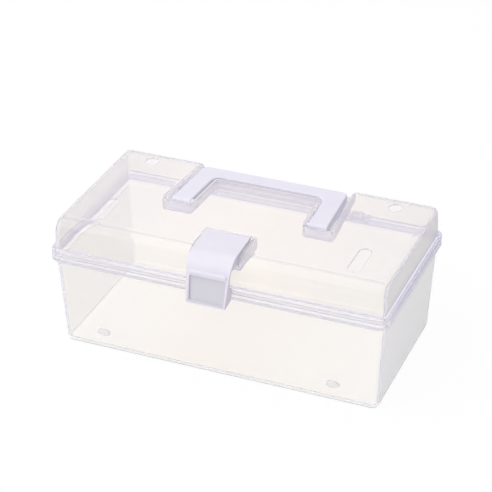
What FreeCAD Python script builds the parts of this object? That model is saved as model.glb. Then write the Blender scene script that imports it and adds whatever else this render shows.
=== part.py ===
import FreeCAD, Part
import math
import os

V = FreeCAD.Vector

# Overall sizes in millimetres: x to the right, y to the back, z up from the base
rim_width = 260.0
rim_depth = 132.5
rim_corner = 7.5
rim_step = 3.0
wall = 2.0
parting_height = 77.0
lid_height = 26.0

# Tub
tub_lean_side = 4.0
tub_lean_front = 2.0
tub_corner = 6.0
tub_base_round = 2.5
tub_floor = 2.2
rim_height = 6.0
rim_flare = 3.6
flare_overlap = 0.7
pad_from_end = 40.0
pad_height = 15.0
pad_length = 10.5
pad_tall = 5.4
pad_proud = 1.8
pad_round = 0.7

# Lid
lid_gap = 0.1
lid_flange = 2.7
lid_draft = 2.0
lid_front_round = 11.0
lid_back_round = 7.0
lid_side_round = 4.5
tongue_gap = 0.3
tongue_drop = 3.4
flange_round = 0.8

# Stacking marks on top of the lid
mark_from_end = 32.0
mark_deep = 1.0
dimple_from_back = 19.75
dimple_wide = 11.0
slot_from_front = 16.25
slot_length = 33.0
slot_wide = 9.6

# Handle and the trough it lies in, both splayed outwards to the front
handle_from_back = 10.75
handle_back_width = 116.4
handle_splay = 3.0
handle_reach = 51.3
handle_arm = 14.8
handle_bar = 12.4
handle_thick = 6.4
handle_below_top = 0.4
handle_outer_round = 5.0
handle_inner_round = 8.0
handle_edge_round = 1.0
handle_skin = 2.3
handle_rib = 1.4
handle_ribs = 5
trough_back_room = 2.3
trough_splay = 5.0
trough_front_room = 6.2
trough_deep = 8.0
trough_corner = 3.0
trough_lip_round = 3.0
block_side_gap = 1.0
block_back_gap = 1.8
stub_radius = 2.6
stub_reach = 3.5

# Latch and the pocket it swings in
latch_width = 34.2
latch_foot_width = 29.6
latch_skin = 2.2
latch_before_rim = 4.35
latch_above_lid = 2.2
latch_top_run = 35.4
latch_top_fall = 2.3
latch_front_run = 8.9
latch_below_rim = 2.0
latch_knee_round = 15.0
latch_back_round = 1.0
latch_pivot_run = 2.6
latch_pivot_drop = 5.0
latch_pin_radius = 1.4
latch_pin_reach = 1.8
latch_tail_drop = 8.2
latch_tail_slant = 7.0
latch_tip_before_rim = 0.25
latch_tip_drop = 0.7
latch_tip_run = 4.5
latch_lower_rise = 6.2
latch_lower_run = 3.2
latch_lower_step = 2.7
latch_lower_lift = 0.8
latch_rim_gap = 0.5
latch_bead_gap = 0.35
latch_bead_radius = 1.0
latch_ridge_rise = 22.2
latch_ridge_radius = 1.9
latch_ridge_proud = 0.9
latch_panel_margin = 2.4
latch_panel_gap = 0.5
latch_panel_deep = 0.9
pocket_side_gap = 0.6
pocket_deep = 8.8
pocket_floor_gap = 1.2
pocket_tail_gap = 0.6
pocket_lip_round = 0.6

# Back hinge
hinge_from_end = 68.0
hinge_behind_rim = 3.2
hinge_below_parting = 1.4
hinge_rim_gap = 0.35
knuckle_radius = 2.6
lid_knuckle = 8.0
tub_knuckle = 4.5
knuckle_gap = 0.4
hinge_pin_radius = 1.2
pin_end_gap = 0.6
pin_chamfer = 0.3
run_gap = 0.05

# Places that follow from the sizes
rim_end = rim_width / 2.0
rim_back = rim_depth / 2.0
rim_front = -rim_depth / 2.0
rim_bottom = parting_height - rim_height
neck_width = rim_width - 2.0 * rim_step
neck_depth = rim_depth - 2.0 * rim_step
base_width = neck_width - 2.0 * tub_lean_side
base_depth = neck_depth - 2.0 * tub_lean_front
lid_top = parting_height + lid_height
pad_x = rim_end - pad_from_end
mark_x = rim_end - mark_from_end
hinge_x = rim_end - hinge_from_end
dimple_y = rim_back - dimple_from_back
slot_front = rim_front + slot_from_front
handle_back = rim_back - handle_from_back
handle_pivot_y = handle_back - handle_reach
trough_front = handle_pivot_y - trough_front_room
latch_knee_y = rim_front - latch_before_rim
latch_back_y = latch_knee_y + latch_top_run
latch_foot_y = latch_knee_y - latch_front_run
latch_back_z = lid_top + latch_above_lid
latch_knee_z = latch_back_z - latch_top_fall
latch_foot_z = rim_bottom - latch_below_rim
latch_pivot_y = latch_back_y - latch_pivot_run
latch_pivot_z = latch_back_z - latch_pivot_drop
latch_tip_y = rim_front - latch_tip_before_rim
latch_ridge_z = latch_foot_z + latch_ridge_rise

# Reach of a cutting tool past the piece
past = 1.0
far = rim_width

os.makedirs("parts", exist_ok=True)


def block(x0, x1, y0, y1, z0, z1):
    return Part.makeBox(x1 - x0, y1 - y0, z1 - z0, V(x0, y0, z0))


def rod(xa, xb, y, z, radius):
    return Part.makeCylinder(radius, abs(xb - xa), V(min(xa, xb), y, z), V(1, 0, 0))


def prism(corners, along):
    return Part.Face(Part.makePolygon(corners + corners[:1])).extrude(along)


def side_plate(points, half):
    return prism([V(-half, y, z) for y, z in points], V(2.0 * half, 0, 0))


def rounded_outline(width, depth, corner, z):
    a = width / 2.0
    b = depth / 2.0
    k = corner * (1.0 - math.sqrt(0.5))
    edges = []
    for turn in range(4):
        half, side = (a, b) if turn % 2 == 0 else (b, a)
        start = V(half, corner - side, 0)
        stop = V(half, side - corner, 0)
        bend = V(half - k, side - k, 0)
        after = V(half - corner, side, 0)
        piece = [Part.makeLine(start, stop), Part.Arc(stop, bend, after).toShape()]
        for edge in piece:
            edge.rotate(V(0, 0, 0), V(0, 0, 1), 90.0 * turn)
            edges.append(edge)
    outline = Part.Wire(edges)
    outline.translate(V(0, 0, z))
    return outline


def rounded_prism(width, depth, corner, z0, z1):
    return Part.Face(rounded_outline(width, depth, corner, z0)).extrude(V(0, 0, z1 - z0))


def flared_prism(lower, upper):
    return Part.makeLoft([rounded_outline(*lower), rounded_outline(*upper)], True, True)


def rectangle(width, depth, z):
    a = width / 2.0
    b = depth / 2.0
    corners = [V(-a, -b, z), V(a, -b, z), V(a, b, z), V(-a, b, z)]
    return Part.makePolygon(corners + corners[:1])


def tapered_block(width0, depth0, z0, width1, depth1, z1):
    return Part.makeLoft([rectangle(width0, depth0, z0), rectangle(width1, depth1, z1)], True, True)


def rounded(shape, radius, wanted):
    edges = [edge for edge in shape.Edges if wanted(edge.BoundBox)]
    return shape.makeFillet(radius, edges)


def at(value, target):
    return abs(value - target) < 0.01


def save(shape, node):
    solid = shape.removeSplitter()
    if len(solid.Solids) != 1 or not solid.isValid():
        raise RuntimeError(node)
    solid.Solids[0].exportStep("parts/" + node + ".step")
    print(node, round(solid.Volume), len(solid.Faces))


# Tub: drafted walls, a flared rim that the lid's tongue drops into
grow_x = 2.0 * tub_lean_side / rim_bottom
grow_y = 2.0 * tub_lean_front / rim_bottom


def tub_form(inset, z0, z1, corner, base_round):
    low_w = base_width + grow_x * z0 - 2.0 * inset
    low_d = base_depth + grow_y * z0 - 2.0 * inset
    top_w = base_width + grow_x * z1 - 2.0 * inset
    top_d = base_depth + grow_y * z1 - 2.0 * inset
    form = tapered_block(low_w, low_d, z0, top_w, top_d, z1)
    form = rounded(form, corner, lambda b: b.ZLength > (z1 - z0) / 2.0)
    return rounded(form, base_round, lambda b: at(b.ZMax, z0))


def rim_form(inset, z_end):
    turn = rim_bottom + inset / 2.0
    shrink = 2.0 * (inset + flare_overlap)
    neck = (neck_width - shrink, neck_depth - shrink, tub_corner - inset, turn - rim_flare)
    lip = (rim_width - 2.0 * inset, rim_depth - 2.0 * inset, rim_corner - inset, turn)
    band = rounded_prism(lip[0], lip[1], lip[2], turn, z_end)
    return flared_prism(neck, lip).fuse(band)


tub = tub_form(0.0, 0.0, rim_bottom, tub_corner, tub_base_round).fuse(rim_form(0.0, parting_height))
room = tub_form(wall, tub_floor, rim_bottom + past, tub_corner - wall, tub_base_round * 0.8)
room = room.fuse(rim_form(wall, parting_height + past))
tub = tub.cut(room).removeSplitter()

# Two oval pads low on the front wall
front_at_pad = base_depth / 2.0 + grow_y / 2.0 * pad_height
pad_root = wall / 2.0
for side in (-1, 1):
    oval = Part.Ellipse(V(0, 0, 0), pad_length / 2.0, pad_tall / 2.0).toShape()
    pad = Part.Face(Part.Wire([oval])).extrude(V(0, 0, pad_proud + pad_root))
    pad = rounded(pad, pad_round, lambda b: at(b.ZMin, pad_proud + pad_root))
    pad.rotate(V(0, 0, 0), V(1, 0, 0), 90)
    pad.translate(V(side * pad_x, pad_root - front_at_pad, pad_height))
    tub = tub.fuse(pad)

# Tub knuckles stand behind the rim on either side of each lid knuckle
axis_y = rim_back + hinge_behind_rim
axis_z = parting_height - hinge_below_parting
half_lid_knuckle = lid_knuckle / 2.0
hinge_half = half_lid_knuckle + knuckle_gap + tub_knuckle


def knuckle(x0, x1, y0, z0, z1):
    return rod(x0, x1, axis_y, axis_z, knuckle_radius).fuse(block(x0, x1, y0, axis_y, z0, z1))


for side in (-1, 1):
    for inner in (-hinge_half, half_lid_knuckle + knuckle_gap):
        x0 = side * hinge_x + inner
        tub = tub.fuse(knuckle(x0, x0 + tub_knuckle, rim_back - wall / 2.0, axis_z - knuckle_radius, axis_z))
    tub = tub.cut(rod(side * hinge_x - hinge_half, side * hinge_x + hinge_half, axis_y, axis_z,
                      hinge_pin_radius + run_gap))
save(tub, "tub")

# Hinge pins run through both tub knuckles and the lid knuckle between them
for side, word in ((-1, "left"), (1, "right")):
    half_pin = hinge_half - pin_end_gap
    pin = rod(side * hinge_x - half_pin, side * hinge_x + half_pin, axis_y, axis_z, hinge_pin_radius)
    pin = pin.makeChamfer(pin_chamfer, [edge for edge in pin.Edges if at(edge.BoundBox.XLength, 0.0)])
    save(pin, "hinge_pin_" + word)

# Lid crown: long front shoulder, smaller back edge, rounded corners and sides
flange_bottom = parting_height + lid_gap
flange_top = flange_bottom + lid_flange
tongue_bottom = flange_bottom - tongue_drop
slope = math.tan(math.radians(lid_draft))


def crown(inset, z0, front, back, sides):
    z1 = lid_top - inset
    low = 2.0 * (slope * (flange_top - z0) - inset)
    high = 2.0 * (slope * (flange_top - z1) - inset)
    top_w = neck_width + high
    top_d = neck_depth + high
    limit = top_w / 2.0 - 0.01
    form = tapered_block(neck_width + low, neck_depth + low, z0, top_w, top_d, z1)
    form = rounded(form, front, lambda b: at(b.ZMin, z1) and at(b.YMax, -top_d / 2.0))
    form = rounded(form, back, lambda b: at(b.ZMin, z1) and at(b.YMin, top_d / 2.0))
    for hand in (-1, 1):
        form = rounded(form, sides, lambda b: b.ZMax > z0 + 0.01
                       and min(b.XMin * hand, b.XMax * hand) > limit)
    return form


lid = crown(0.0, flange_bottom, lid_front_round, lid_back_round, lid_side_round)
flange = rounded_prism(rim_width, rim_depth, rim_corner, flange_bottom, flange_top)
flange = rounded(flange, flange_round, lambda b: at(b.ZMin, flange_top))
tongue_inset = wall + tongue_gap
tongue = rounded_prism(rim_width - 2.0 * tongue_inset, rim_depth - 2.0 * tongue_inset,
                       rim_corner - tongue_inset, tongue_bottom, flange_bottom + lid_flange / 2.0)
lid = lid.fuse(flange).fuse(tongue)
hollow = crown(wall, tongue_bottom - past, lid_front_round - wall, lid_back_round - wall,
               lid_side_round - wall)

# Trough for the handle, open at the back, around a block that carries the pivots
bar_front = handle_back - handle_bar
block_back = bar_front - block_back_gap
trough_floor = lid_top - trough_deep


def handle_half(y):
    return handle_back_width / 2.0 + math.tan(math.radians(handle_splay)) * (handle_back - y)


def block_half(y):
    return handle_half(y) - handle_arm - block_side_gap


def trough_half(y):
    back_half = handle_back_width / 2.0 + trough_back_room
    return back_half + math.tan(math.radians(trough_splay)) * (handle_back - y)


def splayed_block(half, extra, front, back, z0, z1):
    a = half(front) + extra
    b = half(back) + extra
    corners = [V(-a, front, z0), V(a, front, z0), V(b, back, z0), V(-b, back, z0)]
    return prism(corners, V(0, 0, z1 - z0))


def trough_form(grow, corner):
    low = trough_floor - grow
    front = trough_front - grow
    form = splayed_block(trough_half, grow, front, rim_depth, low, lid_top + trough_deep)
    core = splayed_block(block_half, -grow, front - past, block_back - grow, low - past,
                         lid_top + 2.0 * trough_deep)
    form = form.cut(core)
    return rounded(form, corner, lambda b: b.ZLength > trough_deep and b.YMax < rim_depth - past)


trough = trough_form(0.0, trough_corner)
hollow = hollow.cut(trough_form(wall, trough_corner))

# Pocket for the latch, open through the front shoulder
half_latch = latch_width / 2.0
tail_swing = math.hypot(latch_back_y - latch_pivot_y, latch_back_z - latch_pivot_z)
pocket_half = half_latch + pocket_side_gap
pocket_back = latch_pivot_y + tail_swing + pocket_tail_gap
pocket_floor = lid_top - pocket_deep


def pocket_form(grow):
    half = pocket_half + grow
    return block(-half, half, -rim_depth, pocket_back + grow, pocket_floor - grow, lid_top + pocket_deep)


hollow = hollow.cut(pocket_form(wall))
lid = lid.cut(trough).cut(pocket_form(0.0)).removeSplitter()
trough_reach = trough_half(trough_front)
lid = rounded(lid, trough_lip_round, lambda b: at(b.ZMin, lid_top) and b.YMin > trough_front - 0.1
              and b.XMax < trough_reach + 0.1 and b.XMin > -trough_reach - 0.1)
lid = rounded(lid, pocket_lip_round, lambda b: at(b.ZMin, lid_top) and b.YMax < pocket_back + 0.1
              and b.XMax < pocket_half + 0.1 and b.XMin > -pocket_half - 0.1)
lid = lid.cut(hollow)

# Stacking marks: two round dimples and two long slots
mark_floor = lid_top - mark_deep
for side in (-1, 1):
    centre = side * mark_x
    dimple = Part.makeCylinder(dimple_wide / 2.0, mark_deep + past, V(centre, dimple_y, mark_floor))
    slot = block(centre - slot_wide / 2.0, centre + slot_wide / 2.0, slot_front, slot_front + slot_length,
                 mark_floor, lid_top + past)
    slot = rounded(slot, slot_wide / 2.0 - 0.01, lambda b: b.ZLength > mark_deep)
    lid = lid.cut(dimple).cut(slot)

# Lid knuckles, bores and the holes for the handle stubs and latch pins
handle_top = lid_top - handle_below_top
handle_low = handle_top - handle_thick
end_radius = handle_thick / 2.0
handle_pivot_z = handle_low + end_radius
for side in (-1, 1):
    x0 = side * hinge_x - half_lid_knuckle
    lid = lid.fuse(knuckle(x0, x0 + lid_knuckle, rim_back + hinge_rim_gap, axis_z, flange_top))
    lid = lid.fuse(block(x0, x0 + lid_knuckle, rim_back - wall / 2.0, axis_y, flange_bottom, flange_top))
    lid = lid.cut(rod(x0 - past, x0 + lid_knuckle + past, axis_y, axis_z, hinge_pin_radius + run_gap))
    inside = side * (block_half(handle_pivot_y) - wall - past)
    outside = side * (block_half(handle_pivot_y) + past)
    lid = lid.cut(rod(inside, outside, handle_pivot_y, handle_pivot_z, stub_radius + run_gap))
    inside = side * (pocket_half - past)
    outside = side * (pocket_half + wall + past)
    lid = lid.cut(rod(inside, outside, latch_pivot_y, latch_pivot_z, latch_pin_radius + run_gap))
save(lid, "lid")

# Handle: a splayed bow, hollow underneath, with round front ends on inward stubs
def bow(grow, front, z0, z1):
    form = splayed_block(handle_half, grow, front, handle_back + grow, z0, z1)
    form = rounded(form, handle_outer_round + grow, lambda b: b.ZLength > 1.0 and b.YMin > front + 1.0)
    gap = splayed_block(handle_half, -handle_arm - grow, front - end_radius, bar_front - grow,
                        z0 - past, z1 + past)
    gap = rounded(gap, handle_inner_round - grow, lambda b: b.ZLength > 1.0 and b.YMin > front)
    return form.cut(gap)


handle_front = handle_pivot_y - end_radius
side_view = block(-far, far, handle_pivot_y, handle_back + past, handle_low, handle_top)
side_view = side_view.fuse(rod(-far, far, handle_pivot_y, handle_pivot_z, end_radius))
handle = bow(0.0, handle_front, handle_low, handle_top).common(side_view).removeSplitter()
handle = rounded(handle, handle_edge_round, lambda b: at(b.ZMin, handle_top) and b.YLength > 0.01
                 or at(b.ZMin, handle_top) and b.YMin > handle_pivot_y + 0.1)
under = bow(-handle_skin, handle_pivot_y + end_radius + handle_skin, handle_low - past,
            handle_top - handle_skin)
rib_pitch = 2.0 * (handle_half(bar_front) - handle_arm) / handle_ribs
for step in range(handle_ribs):
    rib_x = (step - (handle_ribs - 1) / 2.0) * rib_pitch
    under = under.cut(block(rib_x - handle_rib / 2.0, rib_x + handle_rib / 2.0, bar_front, handle_back,
                            handle_low, handle_top))
handle = handle.cut(under)
for side in (-1, 1):
    arm_inside = handle_half(handle_pivot_y) - handle_arm
    tip = side * (arm_inside - stub_reach)
    root = side * (arm_inside + stub_reach)
    handle = handle.fuse(rod(root, tip, handle_pivot_y, handle_pivot_z, stub_radius))
save(handle, "handle")

# Latch: a bent plate over the lid's shoulder, seen from the side
front_lean = (latch_knee_y - latch_foot_y) / (latch_knee_z - latch_foot_z)
top_lean = (latch_back_z - latch_knee_z) / (latch_back_y - latch_knee_y)


def front_at(z):
    return latch_knee_y - front_lean * (latch_knee_z - z)


def latch_side(skin, low):
    drop = skin * math.hypot(1.0, top_lean)
    step = skin * math.hypot(1.0, front_lean)
    knee_y = latch_knee_y + (step - front_lean * drop) / (1.0 - front_lean * top_lean)
    knee_z = latch_knee_z - drop + top_lean * (knee_y - latch_knee_y)
    foot_y = front_at(low) + step
    outline = [(latch_back_y, latch_back_z - drop), (knee_y, knee_z), (foot_y, low), (latch_back_y, low)]
    form = side_plate(outline, half_latch)
    return rounded(form, latch_knee_round - skin, lambda b: at(b.YMin, knee_y) and at(b.ZMax, knee_z)
                   and b.XLength > latch_skin)


# Both sides draw in evenly from the top down to the foot
draw_in = (latch_width - latch_foot_width) / 2.0 / (latch_back_z - latch_foot_z)


def drawn_in(inset):
    top = half_latch + draw_in * past - inset
    low = latch_foot_width / 2.0 - draw_in * past - inset
    corners = [V(-top, -far, latch_back_z + past), V(top, -far, latch_back_z + past),
               V(low, -far, latch_foot_z - past), V(-low, -far, latch_foot_z - past)]
    return prism(corners, V(0, 2.0 * far, 0))


outer_sides = drawn_in(0.0)
skirt_room = outer_sides.cut(drawn_in(wall))
whole_side = latch_side(0.0, latch_foot_z)
plate = whole_side.cut(latch_side(latch_skin, latch_foot_z - past))
plate = rounded(plate, latch_back_round, lambda b: b.XLength > latch_skin and at(b.ZMax, latch_back_z))

# Side skirts: upper ones sit in the pocket, lower ones reach back to the rim
skirt_low = pocket_floor + pocket_floor_gap
tail_low = latch_back_z - latch_tail_drop
tail_top = latch_back_z - latch_back_round
skirt_back = rim_front - latch_rim_gap
lower_top = flange_top + latch_lower_rise
plate_mid = latch_skin / 2.0
upper_skirt = [(latch_back_y, tail_top), (latch_back_y, tail_low),
               (latch_back_y - latch_tail_slant, skirt_low), (latch_tip_y + latch_tip_run, skirt_low),
               (latch_tip_y, skirt_low - latch_tip_drop), (latch_knee_y, latch_knee_z)]
lower_skirt = [(front_at(lower_top) + plate_mid, lower_top),
               (skirt_back - latch_lower_run, flange_top + latch_lower_step),
               (skirt_back, flange_top - latch_lower_lift), (skirt_back, rim_bottom),
               (skirt_back - 2.0 * latch_lower_run, latch_foot_z),
               (front_at(latch_foot_z) + plate_mid, latch_foot_z)]
skirts = side_plate(upper_skirt, half_latch).fuse(side_plate(lower_skirt, half_latch))
tail = block(-half_latch, half_latch, latch_back_y - wall, latch_back_y, tail_low, tail_top)
latch = plate.common(outer_sides).fuse(skirts.common(whole_side).common(skirt_room))
latch = latch.fuse(tail.common(outer_sides))

# Snap rib across the inside, just clear of the rim
bead_y = rim_front - latch_bead_gap - latch_bead_radius
bead_z = rim_bottom - latch_bead_radius
shelf = block(-half_latch, half_latch, front_at(bead_z) + plate_mid, bead_y,
              bead_z - latch_bead_radius, bead_z + latch_bead_radius)
shelf = shelf.fuse(rod(-half_latch, half_latch, bead_y, bead_z, latch_bead_radius))
latch = latch.fuse(shelf.common(drawn_in(wall / 2.0)))

# Thumb panel sunk into the front, and the ridge above it
panel_low = latch_foot_z + latch_panel_margin
panel_high = latch_ridge_z - latch_ridge_radius - latch_panel_gap
panel = [(front_at(panel_low) - latch_skin, panel_low),
         (front_at(panel_low) + latch_panel_deep, panel_low),
         (front_at(panel_high) + latch_panel_deep, panel_high),
         (front_at(panel_high) - latch_skin, panel_high)]
panel_sides = drawn_in(latch_panel_margin)
latch = latch.cut(side_plate(panel, half_latch).common(panel_sides))
ridge_y = front_at(latch_ridge_z) + latch_ridge_radius - latch_ridge_proud
ridge = rod(-half_latch, half_latch, ridge_y, latch_ridge_z, latch_ridge_radius)
ridge = ridge.common(panel_sides).cut(latch_side(plate_mid, 0.0))
latch = latch.fuse(ridge)

# Pivot pins of the latch
for side in (-1, 1):
    root = side * (half_latch - wall)
    tip = side * (half_latch + latch_pin_reach)
    latch = latch.fuse(rod(root, tip, latch_pivot_y, latch_pivot_z, latch_pin_radius))
save(latch, "latch")
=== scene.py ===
import logging
import math
from dataclasses import dataclass
from enum import Enum
from typing import Any

import bpy
from mathutils import Matrix, Vector

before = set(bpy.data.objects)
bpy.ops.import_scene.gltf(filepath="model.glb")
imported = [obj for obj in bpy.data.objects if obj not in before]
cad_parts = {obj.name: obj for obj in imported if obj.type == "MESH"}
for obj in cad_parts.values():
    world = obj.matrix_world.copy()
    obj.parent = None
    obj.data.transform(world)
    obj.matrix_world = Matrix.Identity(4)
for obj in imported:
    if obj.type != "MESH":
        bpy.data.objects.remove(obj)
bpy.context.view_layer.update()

LOG = logging.getLogger("storage_box")
MM = 0.001
PLASTIC_IOR = 1.49
CLOUD_DETAIL = 4.0
GRAIN_DETAIL = 2.0

# Most of a noise lies between these two values.
NOISE_LOW = 0.3
NOISE_HIGH = 0.7

# A Mix node has sockets for every kind of value, and these are the ones for colours.
MIX_FIRST = 6
MIX_SECOND = 7
MIX_RESULT = 2

# With this blend, Facing grows evenly from a face seen straight on to one seen edge on.
EVEN_BLEND = 0.5

Colour = tuple[float, float, float, float]
Point = tuple[float, float, float]
Socket = bpy.types.NodeSocket


class Axis(Enum):
    """An axis of the shared frame: across the box, from front to back, and upwards."""

    ACROSS = "X"
    DEPTH = "Y"
    UP = "Z"


class Place(Enum):
    """What a point's place is read from: its own piece, or its direction in the sky."""

    PIECE = "Object"
    SKY = "Generated"


class Sum(Enum):
    """A sum that a node does, by Blender's name for it."""

    ABSOLUTE = "ABSOLUTE"
    ADD = "ADD"
    SUBTRACT = "SUBTRACT"
    MULTIPLY = "MULTIPLY"
    MAXIMUM = "MAXIMUM"
    GREATER_THAN = "GREATER_THAN"


def linear(red: int, green: int, blue: int) -> Colour:
    """Turn a screen colour, by the sRGB curve, into the linear colour that a socket takes.

    Args:
        red: Red from 0 to 255.
        green: Green from 0 to 255.
        blue: Blue from 0 to 255.

    Returns:
        The linear colour with full alpha.
    """
    def channel(value: int) -> float:
        """Return one linear channel of a screen value."""
        share = value / 255.0
        return share / 12.92 if share <= 0.04045 else ((share + 0.055) / 1.055) ** 2.4
    return (channel(red), channel(green), channel(blue), 1.0)


class NodeSheet:
    """A node tree with short calls to add and join nodes."""

    def __init__(self, tree: bpy.types.NodeTree, output: str) -> None:
        """Clear a tree and give it one output.

        Args:
            tree: Tree to fill.
            output: Blender's name of the output node's type.
        """
        self.tree = tree
        self.tree.nodes.clear()
        self.output = self.add(output)

    def add(self, kind: str, **values: Any) -> bpy.types.Node:
        """Add a node and set its plain properties.

        Args:
            kind: Blender's name of the node type.
            **values: Properties of the node to set.

        Returns:
            The new node.
        """
        node = self.tree.nodes.new(kind)
        for key, value in values.items():
            setattr(node, key, value)
        return node

    def join(self, source: Socket, target: Socket) -> None:
        """Join an output socket to an input socket."""
        self.tree.links.new(source, target)

    def end(self, shader: Socket) -> None:
        """Join the last shader to the tree's output."""
        self.join(shader, self.output.inputs["Surface"])

    def noise(self, scale: float, detail: float) -> Socket:
        """Add a noise pattern on Object coordinates.

        Args:
            scale: Number of blotches in a metre.
            detail: Octaves of the noise.

        Returns:
            The noise value's output socket.
        """
        point = self.add("ShaderNodeTexCoord")
        pattern = self.add("ShaderNodeTexNoise")
        pattern.inputs["Scale"].default_value = scale
        pattern.inputs["Detail"].default_value = detail
        self.join(point.outputs[Place.PIECE.value], pattern.inputs["Vector"])
        return pattern.outputs["Fac"]

    def along(self, axis: Axis, place: Place = Place.PIECE) -> Socket:
        """Read how far a point lies along an axis.

        Args:
            axis: Axis to read.
            place: What the point's place is read from.

        Returns:
            Output socket with the distance, in metres on a piece.
        """
        point = self.add("ShaderNodeTexCoord")
        split = self.add("ShaderNodeSeparateXYZ")
        self.join(point.outputs[place.value], split.inputs["Vector"])
        return split.outputs[axis.value]

    def count(self, kind: Sum, first: Socket, second: Socket | float | None = None) -> Socket:
        """Do one sum on a socket and a socket or number.

        Args:
            kind: Sum to do.
            first: Output socket to start from.
            second: Output socket or number to take with it.

        Returns:
            The sum's output socket.
        """
        node = self.add("ShaderNodeMath", operation=kind.value)
        self.join(first, node.inputs[0])
        if isinstance(second, (int, float)):
            node.inputs[1].default_value = second
        elif second is not None:
            self.join(second, node.inputs[1])
        return node.outputs["Value"]

    def spread(self, source: Socket, low: float, high: float,
               start: float = NOISE_LOW, stop: float = NOISE_HIGH) -> Socket:
        """Map a value to another range.

        Args:
            source: Output socket to read.
            low: Result at start.
            high: Result at stop.
            start: Value that gives low.
            stop: Value that gives high.

        Returns:
            The mapped value's output socket.
        """
        node = self.add("ShaderNodeMapRange")
        node.inputs["From Min"].default_value = start
        node.inputs["From Max"].default_value = stop
        node.inputs["To Min"].default_value = low
        node.inputs["To Max"].default_value = high
        self.join(source, node.inputs["Value"])
        return node.outputs["Result"]

    def blend(self, source: Socket, first: Colour | Socket, second: Colour) -> Socket:
        """Mix two colours by a value.

        Args:
            source: Output socket that goes from first to second.
            first: Colour at zero, as a colour or an output socket.
            second: Colour at one.

        Returns:
            The mixed colour's output socket.
        """
        node = self.add("ShaderNodeMix", data_type="RGBA")
        if isinstance(first, tuple):
            node.inputs[MIX_FIRST].default_value = first
        else:
            self.join(first, node.inputs[MIX_FIRST])
        node.inputs[MIX_SECOND].default_value = second
        self.join(source, node.inputs[0])
        return node.outputs[MIX_RESULT]

    def mix(self, share: Socket, first: Socket, second: Socket) -> Socket:
        """Mix two shaders by a value.

        Args:
            share: Output socket that goes from first to second.
            first: Shader at zero.
            second: Shader at one.

        Returns:
            The mixed shader's output socket.
        """
        node = self.add("ShaderNodeMixShader")
        self.join(share, node.inputs[0])
        self.join(first, node.inputs[1])
        self.join(second, node.inputs[2])
        return node.outputs["Shader"]

    def bump(self, source: Socket, height: float, strength: float) -> Socket:
        """Add a bump from a value.

        Args:
            source: Output socket that gives the height.
            height: Height of the relief in millimetres.
            strength: Share of the bump that shows.

        Returns:
            The bumped normal's output socket.
        """
        node = self.add("ShaderNodeBump")
        node.inputs["Strength"].default_value = strength
        node.inputs["Distance"].default_value = height * MM
        self.join(source, node.inputs["Height"])
        return node.outputs["Normal"]


def new_material(name: str) -> tuple[bpy.types.Material, NodeSheet]:
    """Start a material with an empty tree.

    Args:
        name: Name of the material.

    Returns:
        The material and the sheet of its tree.
    """
    material = bpy.data.materials.new(name)
    material.use_nodes = True
    return material, NodeSheet(material.node_tree, "ShaderNodeOutputMaterial")


@dataclass(frozen=True)
class Field:
    """A part of a piece between two heights and two depths, in millimetres.

    It lies alike on both sides of the box, over the middle or as far out as its own middle says.
    """

    half_width: float
    low: float
    high: float
    front: float
    back: float
    edge: float = 0.4
    middle: float = 0.0

    def find(self, sheet: NodeSheet) -> Socket:
        """Find the field on the piece.

        Args:
            sheet: Tree of the material.

        Returns:
            Output socket that is one on the field and fades over its edge.
        """
        side = sheet.count(Sum.ABSOLUTE, sheet.along(Axis.ACROSS))
        if self.middle:
            side = sheet.count(Sum.ABSOLUTE, sheet.count(Sum.SUBTRACT, side, self.middle * MM))
        edge = self.edge * MM
        within = sheet.spread(side, 1.0, 0.0, self.half_width * MM, self.half_width * MM + edge)
        for axis, start, stop in ((Axis.UP, self.low, self.high),
                                  (Axis.DEPTH, self.front, self.back)):
            place = sheet.along(axis)
            past = sheet.spread(place, 0.0, 1.0, start * MM - edge, start * MM)
            short = sheet.spread(place, 1.0, 0.0, stop * MM, stop * MM + edge)
            within = sheet.count(Sum.MULTIPLY, within, sheet.count(Sum.MULTIPLY, past, short))
        return within


@dataclass(frozen=True)
class Mark:
    """A field of clear plastic with a haze of its own: a sunk mark, a pad or a line of painted
    shade.
    """

    field: Field
    tone: Colour
    milk: float


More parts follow.
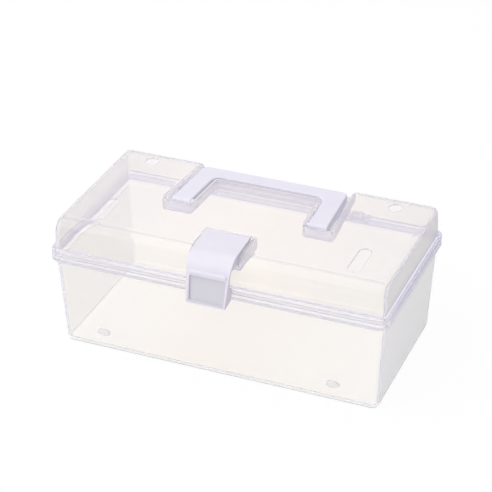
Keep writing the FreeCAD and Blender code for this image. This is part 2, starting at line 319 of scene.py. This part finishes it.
@dataclass(frozen=True)
class ClearFinish:
    """Clear moulded plastic: see-through walls with a milky haze at a slant and a soft gloss.

    The middle of the box is warm and its ends are cool. The thick plastic along the parting line
    and on the fields is lavender. Shares of milk add up: on a face seen straight on or at a
    slant, on the thick plastic, and on the verge, where a face turns away. On the verge the milk
    turns a darker lavender, partly the plastic's own tint seen edge on and partly painted shade
    for the dark edges of bent light. Rays thrown about inside the walls glow with a set colour,
    painted light in place of the light they would carry. Sizes are in millimetres, and noise
    scales are blotches in a metre.
    """

    name: str
    cool: Colour
    rim_from: float
    rim_to: float
    milk: Colour
    milk_slant: float
    milk_verge: float
    # Partly painted shade: the darker lavender that the milk turns to on the verge stands for the
    # dark edges that bent light gives, and partly it is the plastic's lavender seen edge on.
    verge_shade_tone: Colour
    verge_from: float
    marks: tuple[Mark, ...]
    fields: tuple[Field, ...] = ()
    warm: Colour = linear(255, 251, 246)
    rim: Colour = linear(246, 245, 251)
    rim_haze: Colour = linear(217, 216, 226)
    # Painted light: the colour that rays trapped inside the walls glow with, in place of the light
    # they would carry.
    glow: Colour = linear(233, 231, 242)
    passed: Colour = linear(250, 249, 251)
    milk_face: float = 0.04
    milk_rim: float = 0.08
    slant_from: float = 0.1
    slant_to: float = 0.95
    half_width: float = 130.0
    rim_front: float = 0.4
    fade_from: float = -66.0
    fade_to: float = -34.0
    roughness: float = 0.02
    cloud_scale: float = 22.0
    cloud_depth: float = 0.2
    gloss_scale: float = 38.0
    gloss_change: float = 0.3
    ripple_scale: float = 60.0
    ripple_height: float = 0.1
    ripple_share: float = 0.02
    most_reflections: float = 0.5
    most_steps: float = 9.5

    def thick(self, sheet: NodeSheet) -> Socket:
        """Find the thick plastic of the rim and of the fields.

        Args:
            sheet: Tree of the material.

        Returns:
            Output socket that is one there, and less along the front of the rim.
        """
        height = sheet.along(Axis.UP)
        depth = sheet.along(Axis.DEPTH)
        rim = sheet.spread(height, 0.0, 1.0, self.rim_from * MM, self.rim_to * MM)
        fade = sheet.spread(depth, self.rim_front, 1.0, self.fade_from * MM, self.fade_to * MM)
        thick = sheet.count(Sum.MULTIPLY, rim, fade)
        for field in self.fields:
            thick = sheet.count(Sum.MAXIMUM, thick, field.find(sheet))
        return thick

    def tone(self, sheet: NodeSheet, thick: Socket) -> Socket:
        """Mix the colour of the walls.

        Args:
            sheet: Tree of the material.
            thick: Output socket that is one on the thick plastic.

        Returns:
            The colour's output socket.
        """
        noise = sheet.noise(self.cloud_scale, CLOUD_DETAIL)
        cloud = sheet.spread(noise, -self.cloud_depth, self.cloud_depth)
        side = sheet.count(Sum.ABSOLUTE, sheet.along(Axis.ACROSS))
        out = sheet.spread(side, 0.0, 1.0, 0.0, self.half_width * MM)
        wall = sheet.blend(sheet.count(Sum.ADD, out, cloud), self.warm, self.cool)
        return sheet.blend(thick, wall, self.rim)

    def shell(self, sheet: NodeSheet, thick: Socket) -> Socket:
        """Make the glossy plastic that bends light.

        Args:
            sheet: Tree of the material.
            thick: Output socket that is one on the thick plastic.

        Returns:
            The shader's output socket.
        """
        shell = sheet.add("ShaderNodeBsdfPrincipled")
        shell.inputs["IOR"].default_value = PLASTIC_IOR
        shell.inputs["Transmission Weight"].default_value = 1.0
        sheet.join(self.tone(sheet, thick), shell.inputs["Base Color"])
        gloss = sheet.spread(sheet.noise(self.gloss_scale, CLOUD_DETAIL),
                             self.roughness * (1.0 - self.gloss_change),
                             self.roughness * (1.0 + self.gloss_change))
        sheet.join(gloss, shell.inputs["Roughness"])
        ripple = sheet.noise(self.ripple_scale, GRAIN_DETAIL)
        sheet.join(sheet.bump(ripple, self.ripple_height, self.ripple_share), shell.inputs["Normal"])
        return shell.outputs["BSDF"]

    def haze(self, sheet: NodeSheet, thick: Socket) -> tuple[Socket, Socket]:
        """Make the milky haze that lies over the clear plastic, with painted shade on the verge.

        Args:
            sheet: Tree of the material.
            thick: Output socket that is one on the thick plastic.

        Returns:
            Output sockets of the haze's share and of its shader.
        """
        layer = sheet.add("ShaderNodeLayerWeight")
        layer.inputs["Blend"].default_value = EVEN_BLEND
        slant = layer.outputs["Facing"]
        verge = sheet.spread(slant, 0.0, 1.0, self.verge_from, self.slant_to)
        tone = sheet.blend(thick, self.milk, self.rim_haze)
        share = sheet.spread(slant, self.milk_face, self.milk_slant, self.slant_from, self.slant_to)
        share = sheet.count(Sum.ADD, share, sheet.count(Sum.MULTIPLY, thick, self.milk_rim))
        share = sheet.count(Sum.ADD, share, sheet.count(Sum.MULTIPLY, verge, self.milk_verge))
        for mark in self.marks:
            marked = mark.field.find(sheet)
            tone = sheet.blend(marked, tone, mark.tone)
            share = sheet.count(Sum.ADD, share, sheet.count(Sum.MULTIPLY, marked, mark.milk))
        milk = sheet.add("ShaderNodeBsdfDiffuse")
        # Painted shade in part: the milk darkens to the verge tone where a face turns away from
        # view.
        sheet.join(sheet.blend(verge, tone, self.verge_shade_tone), milk.inputs["Color"])
        return share, milk.outputs["BSDF"]

    def trapped(self, sheet: NodeSheet, rays: bpy.types.Node) -> Socket:
        """Find the rays that are thrown about inside the walls.

        Args:
            sheet: Tree of the material.
            rays: Its Light Path node.

        Returns:
            Output socket that is one on such rays.
        """
        thrown = sheet.count(Sum.GREATER_THAN, rays.outputs["Glossy Depth"], self.most_reflections)
        long = sheet.count(Sum.GREATER_THAN, rays.outputs["Ray Depth"], self.most_steps)
        return sheet.count(Sum.MAXIMUM, thrown, long)

    def build(self) -> bpy.types.Material:
        """Make the clear plastic, in which rays trapped in the walls glow with a painted light and
        lamp light passes.

        Returns:
            The new material.
        """
        material, sheet = new_material(self.name)
        thick = self.thick(sheet)
        shell = self.shell(sheet, thick)
        share, milk = self.haze(sheet, thick)
        milky = sheet.mix(share, shell, milk)
        rays = sheet.add("ShaderNodeLightPath")
        # Painted light: an emission for rays trapped inside the walls, though the plastic is no
        # lamp.
        glow = sheet.add("ShaderNodeEmission")
        glow.inputs["Color"].default_value = self.glow
        with_painted_glow = sheet.mix(self.trapped(sheet, rays), milky, glow.outputs["Emission"])
        lamp = sheet.add("ShaderNodeBsdfTransparent")
        lamp.inputs["Color"].default_value = self.passed
        sheet.end(sheet.mix(rays.outputs["Is Shadow Ray"], with_painted_glow, lamp.outputs["BSDF"]))
        return material


@dataclass(frozen=True)
class MouldedFinish:
    """Pale moulded plastic with a fine satin grain, and a greyer, rougher panel where it has one."""

    name: str
    light: Colour
    deep: Colour
    roughness: float
    panel: Field | None = None
    panel_tone: Colour = linear(208, 206, 212)
    panel_roughness: float = 0.55
    cloud_scale: float = 55.0
    grain_scale: float = 900.0
    grain_height: float = 0.1
    grain_share: float = 0.1
    smoothest: float = 0.85
    roughest: float = 1.2

    def build(self) -> bpy.types.Material:
        """Make the moulded plastic.

        Returns:
            The new material.
        """
        material, sheet = new_material(self.name)
        shell = sheet.add("ShaderNodeBsdfPrincipled")
        shell.inputs["IOR"].default_value = PLASTIC_IOR
        cloud = sheet.noise(self.cloud_scale, CLOUD_DETAIL)
        tone = sheet.blend(sheet.spread(cloud, 0.0, 1.0), self.light, self.deep)
        satin = sheet.spread(cloud, self.roughness * self.smoothest, self.roughness * self.roughest)
        if self.panel:
            grey_panel = self.panel.find(sheet)
            tone = sheet.blend(grey_panel, tone, self.panel_tone)
            rougher = sheet.count(Sum.MULTIPLY, grey_panel, self.panel_roughness - self.roughness)
            satin = sheet.count(Sum.ADD, satin, rougher)
        grain = sheet.noise(self.grain_scale, GRAIN_DETAIL)
        sheet.join(tone, shell.inputs["Base Color"])
        sheet.join(satin, shell.inputs["Roughness"])
        sheet.join(sheet.bump(grain, self.grain_height, self.grain_share), shell.inputs["Normal"])
        sheet.end(shell.outputs["BSDF"])
        return material


def dress(node: str, material: bpy.types.Material) -> None:
    """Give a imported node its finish.

    Args:
        node: Name of the node.
        material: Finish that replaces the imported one.
    """
    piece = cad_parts[node]
    piece.data.materials.clear()
    piece.data.materials.append(material)
    LOG.info("dressed %s with %s", node, material.name)


@dataclass
class Tub:
    """The clear lower half of the box, with the pins of its hinge. Heights are in millimetres."""

    nodes: tuple[str, ...] = ("tub", "hinge_pin_left", "hinge_pin_right")
    pads: Mark = Mark(
        Field(half_width=130.0, low=0.0, high=25.0, front=-70.0, back=-62.7),
        tone=linear(212, 213, 213), milk=0.34)
    # Painted shade: a grey band along the tub's bottom edge stands for the dark line that light
    # gives there.
    base_edge_shade: Mark = Mark(
        Field(half_width=130.0, low=0.4, high=1.7, front=-70.0, back=50.0, edge=0.1),
        tone=linear(190, 193, 196), milk=0.35)
    rim_from: float = 69.5
    rim_to: float = 71.5

    def finish(self) -> ClearFinish:
        """Describe the tub's clear plastic.

        Returns:
            The finish, with the tub's own marks.
        """
        return ClearFinish(
            name="tub_clear", cool=linear(254, 253, 249), rim_from=self.rim_from, rim_to=self.rim_to,
            milk=linear(229, 228, 226), milk_slant=0.36, milk_verge=0.45,
            # The verge tone is partly painted shade for the tub's dark edges.
            verge_shade_tone=linear(208, 208, 215), verge_from=0.7, marks=(self.pads, self.base_edge_shade))

    def dress(self) -> None:
        """Give the tub and its pins their clear plastic."""
        clear = self.finish().build()
        for node in self.nodes:
            dress(node, clear)


@dataclass
class Lid:
    """The clear lid with its trough, pocket and stacking marks. Heights are in millimetres."""

    node: str = "lid"
    trough: Field = Field(half_width=66.5, low=88.0, high=100.4, front=-5.0, back=59.5)
    pocket: Field = Field(half_width=19.5, low=84.0, high=100.4, front=-60.5, back=-30.0)
    dimples: Mark = Mark(
        Field(half_width=5.5, low=101.6, high=102.7, front=41.0, back=52.0, middle=98.0),
        tone=linear(251, 250, 252), milk=0.14)
    slots: Mark = Mark(
        Field(half_width=4.8, low=101.6, high=102.7, front=-50.0, back=-17.0, middle=98.0),
        tone=linear(245, 242, 242), milk=0.05)
    # Painted shade: a grey-lavender line along the crease where the lid's top bends into its front.
    shoulder_shade_line: Mark = Mark(
        Field(half_width=123.2, low=101.4, high=103.5, front=-56.3, back=-55.0, edge=0.9),
        tone=linear(200, 201, 208), milk=0.22)
    rim_from: float = 81.5
    rim_to: float = 79.7

    def finish(self) -> ClearFinish:
        """Describe the lid's clear plastic.

        Returns:
            The finish, with the lid's own marks.
        """
        return ClearFinish(
            name="lid_clear", cool=linear(244, 243, 240), rim_from=self.rim_from, rim_to=self.rim_to,
            milk=linear(240, 236, 233), milk_slant=0.34, milk_verge=0.6,
            # The verge tone is partly painted shade for the lid's dark edges.
            verge_shade_tone=linear(198, 198, 206), verge_from=0.56, fields=(self.trough, self.pocket),
            marks=(self.dimples, self.slots, self.shoulder_shade_line))

    def dress(self) -> None:
        """Give the lid its clear plastic."""
        dress(self.node, self.finish().build())


@dataclass
class Handle:
    """The tinted carrying handle."""

    node: str = "handle"

    def finish(self) -> MouldedFinish:
        """Describe the handle's pale plastic."""
        return MouldedFinish(name="handle_lavender", light=linear(232, 229, 239),
                             deep=linear(228, 225, 236), roughness=0.34)

    def dress(self) -> None:
        """Give the handle its pale plastic."""
        dress(self.node, self.finish().build())


@dataclass
class Latch:
    """The tinted latch with the greyer, rougher panel of its thumb pad."""

    node: str = "latch"
    panel: Field = Field(half_width=13.7, low=70.2, high=88.8, front=-90.0, back=-72.5, edge=0.5)

    def finish(self) -> MouldedFinish:
        """Describe the latch's pale plastic."""
        return MouldedFinish(name="latch_lavender", light=linear(229, 226, 235),
                             deep=linear(225, 222, 232), roughness=0.32, panel=self.panel)

    def dress(self) -> None:
        """Give the latch its pale plastic."""
        dress(self.node, self.finish().build())


@dataclass(frozen=True)
class PhotoCamera:
    """The camera at the photograph's angle.

    Lengths are in millimetres and angles in degrees. Image, focal length and centre are in pixels.
    """

    name: str = "photo_camera"
    image: float = 492.0
    focal: float = 1782.65
    azimuth: float = 22.5
    elevation: float = 30.49
    roll: float = -0.36
    distance: float = 1310.37
    aim_x: float = -0.16
    aim_z: float = 74.85
    centre_x: float = 247.08
    centre_y: float = 245.12
    sensor: float = 36.0
    nearest: float = 10.0
    farthest: float = 50000.0

    def lens(self) -> bpy.types.Camera:
        """Make a lens with the photograph's field of view and centre.

        Returns:
            The new camera data.
        """
        lens = bpy.data.cameras.new(self.name)
        lens.sensor_width = self.sensor
        lens.lens = self.focal / self.image * self.sensor
        half = (self.image - 1.0) / 2.0
        lens.shift_x = (half - self.centre_x) / self.image
        lens.shift_y = (self.centre_y - half) / self.image
        lens.clip_start = self.nearest * MM
        lens.clip_end = self.farthest * MM
        return lens

    def place(self) -> Matrix:
        """Work out where the camera stands and how it is turned.

        Returns:
            Its matrix in the shared frame.
        """
        turn = math.radians(self.azimuth)
        rise = math.radians(self.elevation)
        tilt = math.radians(self.roll)
        level = math.cos(rise)
        back = Vector((math.sin(turn) * level, -math.cos(turn) * level, math.sin(rise)))
        right = (-back).cross(Vector((0, 0, 1))).normalized()
        up = right.cross(-back)
        across = right * math.cos(tilt) + up * math.sin(tilt)
        upward = up * math.cos(tilt) - right * math.sin(tilt)
        matrix = Matrix((across, upward, back)).transposed().to_4x4()
        aim = Vector((self.aim_x, 0.0, self.aim_z)) * MM
        matrix.translation = aim + back * self.distance * MM
        return matrix

    def build(self) -> None:
        """Place the camera and make it the scene's own."""
        view = bpy.data.objects.new(self.name, self.lens())
        view.matrix_world = self.place()
        bpy.context.scene.collection.objects.link(view)
        bpy.context.scene.camera = view


@dataclass(frozen=True)
class Floor:
    """A white floor that runs out of view and keeps a soft shadow, with its size in metres."""

    half_size: float = 6.0
    tone: Colour = linear(250, 250, 250)
    seen_glow: float = 0.93

    def finish(self) -> bpy.types.Material:
        """Make the floor's white, which shows bright to the camera and in clear plastic.

        Returns:
            The new material.
        """
        material, sheet = new_material("floor_white")
        matte = sheet.add("ShaderNodeBsdfDiffuse")
        matte.inputs["Color"].default_value = self.tone
        glow = sheet.add("ShaderNodeEmission")
        rays = sheet.add("ShaderNodeLightPath").outputs
        bent = sheet.count(Sum.MAXIMUM, rays["Is Glossy Ray"], rays["Is Transmission Ray"])
        seen = sheet.count(Sum.MULTIPLY, rays["Is Camera Ray"], self.seen_glow)
        share = sheet.count(Sum.MAXIMUM, bent, seen)
        sheet.end(sheet.mix(share, matte.outputs["BSDF"], glow.outputs["Emission"]))
        return material

    def build(self) -> None:
        """Lay the floor as part of the stage."""
        size = self.half_size
        corners = [(-size, -size, 0), (size, -size, 0), (size, size, 0), (-size, size, 0)]
        mesh = bpy.data.meshes.new("floor")
        mesh.from_pydata(corners, [], [(0, 1, 2, 3)])
        mesh.materials.append(self.finish())
        ground = bpy.data.objects.new("floor", mesh)
        bpy.context.scene.collection.objects.link(ground)


@dataclass(frozen=True)
class Sky:
    """A pale sky that lights the box more from the left, and shows even in clear plastic."""

    zenith: Colour = (1.0, 1.0, 1.0, 1.0)
    zenith_height: float = 0.8
    horizon: Colour = linear(176, 174, 190)
    backdrop: Colour = linear(228, 226, 238)
    left: float = 0.96
    left_from: float = -0.3
    right: float = 0.47
    right_from: float = 0.9

    def build(self) -> None:
        """Hang the sky as the scene's world."""
        world = bpy.data.worlds.new("studio")
        world.use_nodes = True
        bpy.context.scene.world = world
        sheet = NodeSheet(world.node_tree, "ShaderNodeOutputWorld")
        ramp = sheet.add("ShaderNodeValToRGB")
        low, high = ramp.color_ramp.elements
        low.color = self.horizon
        high.color = self.zenith
        high.position = self.zenith_height
        sheet.join(sheet.along(Axis.UP, Place.SKY), ramp.inputs["Fac"])
        across = sheet.along(Axis.ACROSS, Place.SKY)
        strength = sheet.spread(across, self.left, self.right, self.left_from, self.right_from)
        room = sheet.add("ShaderNodeBackground")
        sheet.join(ramp.outputs["Color"], room.inputs["Color"])
        sheet.join(strength, room.inputs["Strength"])
        seen = sheet.add("ShaderNodeBackground")
        seen.inputs["Color"].default_value = self.backdrop
        rays = sheet.add("ShaderNodeLightPath").outputs
        sheet.end(sheet.mix(rays["Is Diffuse Ray"], seen.outputs["Background"],
                            room.outputs["Background"]))


@dataclass(frozen=True)
class Lamp:
    """A soft square light that looks at the box, with its place and side in metres."""

    name: str
    place: Point
    side: float
    watts: float
    target: Point = (0.0, 0.0, 0.05)

    def build(self) -> None:
        """Hang the light."""
        glow = bpy.data.lights.new(self.name, "AREA")
        glow.size = self.side
        glow.energy = self.watts
        item = bpy.data.objects.new(self.name, glow)
        look = (Vector(self.target) - Vector(self.place)).to_track_quat("-Z", "Y")
        item.matrix_world = Matrix.Translation(self.place) @ look.to_matrix().to_4x4()
        bpy.context.scene.collection.objects.link(item)


@dataclass
class Studio:
    """Floor, sky, lamps and camera around the box."""

    floor: Floor = Floor()
    sky: Sky = Sky()
    top_light: Lamp = Lamp("top_light", (-0.5, -0.7, 1.6), side=2.6, watts=17.0)
    left_light: Lamp = Lamp("left_light", (-1.4, -0.7, 0.7), side=1.6, watts=6.0)
    camera: PhotoCamera = PhotoCamera()

    def build(self) -> None:
        """Set up the whole studio."""
        for item in (self.floor, self.sky, self.top_light, self.left_light, self.camera):
            item.build()
        bpy.context.scene.view_settings.view_transform = "Standard"


def main() -> None:
    """Dress the box and set up the studio."""
    logging.basicConfig(level=logging.INFO, format="%(name)s: %(message)s")
    for assembly in (Tub(), Lid(), Handle(), Latch()):
        assembly.dress()
    Studio().build()


if __name__ == "__main__":
    main()
